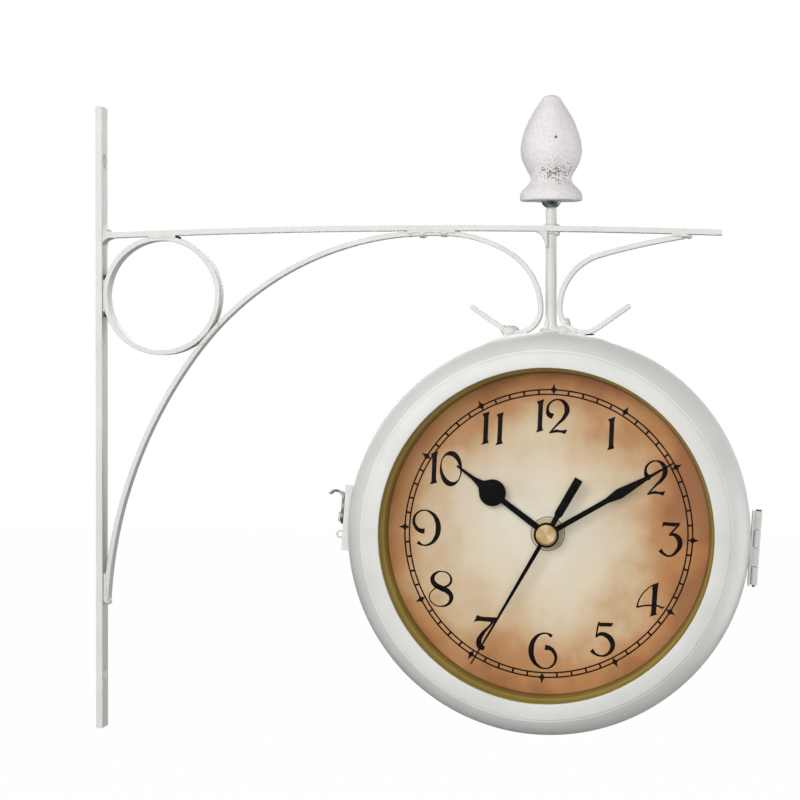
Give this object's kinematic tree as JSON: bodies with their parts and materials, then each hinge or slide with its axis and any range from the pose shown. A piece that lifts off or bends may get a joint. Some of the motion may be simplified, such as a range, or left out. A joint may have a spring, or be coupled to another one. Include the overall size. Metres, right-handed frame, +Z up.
{
  "type": "station clock",
  "caption": "Two-faced round wall clock hung from a scrolled iron wall bracket with a finial; hinged front door with a swing hook, and a quartz movement behind each dial.",
  "frame": {"origin": "on the wall face, midway between the two screw holes", "axes": "+X out from the wall along the arm, -Y towards the viewer of the front dial, +Z up"},
  "size_m": [0.3083, 0.081, 0.2935],
  "materials": {
    "paint": "warm off-white semi-gloss paint over steel",
    "rough_paint": "rough pinkish white paint on a casting, with rust-brown specks",
    "bare_steel": "dull bare steel",
    "glass": "clear flat glass",
    "gilt": "satin olive gold",
    "dial_card": "matt print: aged cream with a tan border, near-black numerals",
    "black_moulding": "black moulded plastic",
    "white_moulding": "white moulded plastic",
    "brass": "satin brass",
    "cell_jacket": "plain green jacket",
    "board": "green circuit board",
    "winding": "copper winding on an iron core",
    "hand_black": "satin black paint on thin sheet"
  },
  "bodies": {
    "bracket": {"wall_strip": "paint", "arm_bar": "paint", "brace_ring": "paint", "arch_brace": "paint", "right_scroll": "paint", "stem": "paint", "weld_beads": "paint", "finial": "rough_paint", "finial_collar": "bare_steel", "rear_shell": "paint", "hinge_leaf_case": "paint", "hinge_pin": "bare_steel", "latch_plate_case": "paint", "latch_rivet": "bare_steel", "rear_glass": "glass", "rear_spacer_ring": "gilt", "rear_dial": "dial_card", "rear_movement_case": "black_moulding", "rear_movement_cover": "black_moulding", "rear_shaft_nut": "brass", "rear_battery": "cell_jacket", "rear_battery_contacts": "bare_steel", "rear_circuit_board": "board", "rear_step_motor": "winding"},
    "door": {"front_shell": "paint", "hinge_leaf_door": "paint", "latch_plate_door": "paint", "front_glass": "glass", "front_spacer_ring": "gilt", "front_dial": "dial_card", "front_movement_case": "black_moulding", "front_movement_cover": "black_moulding", "front_shaft_nut": "brass", "front_battery": "cell_jacket", "front_battery_contacts": "bare_steel", "front_circuit_board": "board", "front_step_motor": "winding"},
    "latch_hook": {"latch_hook": "bare_steel"},
    "front_second": {"front_second_hand": "hand_black", "front_hand_cap": "brass", "front_second_wheel": "brass"},
    "front_third": {"front_third_wheel": "brass"},
    "front_centre": {"front_centre_wheel": "brass"},
    "front_minute": {"front_minute_hand": "hand_black", "front_cannon_pinion": "brass"},
    "front_setting": {"front_set_knob": "white_moulding"},
    "front_hour": {"front_hour_hand": "hand_black", "front_hour_wheel": "white_moulding"},
    "rear_second": {"rear_second_hand": "hand_black", "rear_hand_cap": "brass", "rear_second_wheel": "brass"},
    "rear_third": {"rear_third_wheel": "brass"},
    "rear_centre": {"rear_centre_wheel": "brass"},
    "rear_minute": {"rear_minute_hand": "hand_black", "rear_cannon_pinion": "brass"},
    "rear_setting": {"rear_set_knob": "white_moulding"},
    "rear_hour": {"rear_hour_hand": "hand_black", "rear_hour_wheel": "white_moulding"}
  },
  "joints": [
    {"name": "door_hinge", "type": "hinge", "parent": "bracket", "child": "door", "pos_m": [0.30557, -0.008, -0.05804], "axis": [0.0698, 0, 0.9976], "range_deg": [0, 115]},
    {"name": "latch_pivot", "type": "hinge", "parent": "bracket", "child": "latch_hook", "pos_m": [0.11733, -0.0035, -0.04488], "axis": [-0.9976, 0, 0.0698], "range_deg": [0, 75]},
    {"name": "front_minute_spin", "type": "hinge", "parent": "door", "child": "front_minute", "pos_m": [0.212, -0.03, -0.0515], "axis": [0, 1, 0], "continuous": true},
    {"name": "front_second_spin", "type": "hinge", "parent": "door", "child": "front_second", "pos_m": [0.212, -0.03, -0.0515], "axis": [0, 1, 0], "continuous": true},
    {"name": "front_hour_spin", "type": "hinge", "parent": "door", "child": "front_hour", "pos_m": [0.212, -0.03, -0.0515], "axis": [0, 1, 0], "continuous": true},
    {"name": "front_setting_spin", "type": "hinge", "parent": "door", "child": "front_setting", "pos_m": [0.20204, -0.012, -0.04575], "axis": [0, 1, 0], "continuous": true},
    {"name": "front_third_spin", "type": "hinge", "parent": "door", "child": "front_third", "pos_m": [0.22196, -0.012, -0.04575], "axis": [0, 1, 0], "continuous": true},
    {"name": "front_centre_spin", "type": "hinge", "parent": "door", "child": "front_centre", "pos_m": [0.212, -0.03, -0.0515], "axis": [0, 1, 0], "continuous": true},
    {"name": "rear_minute_spin", "type": "hinge", "parent": "bracket", "child": "rear_minute", "pos_m": [0.212, 0.03, -0.0515], "axis": [0, -1, 0], "continuous": true},
    {"name": "rear_second_spin", "type": "hinge", "parent": "bracket", "child": "rear_second", "pos_m": [0.212, 0.03, -0.0515], "axis": [0, -1, 0], "continuous": true},
    {"name": "rear_hour_spin", "type": "hinge", "parent": "bracket", "child": "rear_hour", "pos_m": [0.212, 0.03, -0.0515], "axis": [0, -1, 0], "continuous": true},
    {"name": "rear_setting_spin", "type": "hinge", "parent": "bracket", "child": "rear_setting", "pos_m": [0.22196, 0.012, -0.04575], "axis": [0, -1, 0], "continuous": true},
    {"name": "rear_third_spin", "type": "hinge", "parent": "bracket", "child": "rear_third", "pos_m": [0.20204, 0.012, -0.04575], "axis": [0, -1, 0], "continuous": true},
    {"name": "rear_centre_spin", "type": "hinge", "parent": "bracket", "child": "rear_centre", "pos_m": [0.212, 0.03, -0.0515], "axis": [0, -1, 0], "continuous": true}
  ],
  "couplings": [
    {"joint": "front_hour_spin", "follows": "front_minute_spin", "ratio": 0.083333},
    {"joint": "front_setting_spin", "follows": "front_minute_spin", "ratio": -0.33333},
    {"joint": "front_third_spin", "follows": "front_second_spin", "ratio": -0.13333},
    {"joint": "front_centre_spin", "follows": "front_second_spin", "ratio": 0.016667},
    {"joint": "rear_hour_spin", "follows": "rear_minute_spin", "ratio": 0.083333},
    {"joint": "rear_setting_spin", "follows": "rear_minute_spin", "ratio": -0.33333},
    {"joint": "rear_third_spin", "follows": "rear_second_spin", "ratio": -0.13333},
    {"joint": "rear_centre_spin", "follows": "rear_second_spin", "ratio": 0.016667}
  ]
}
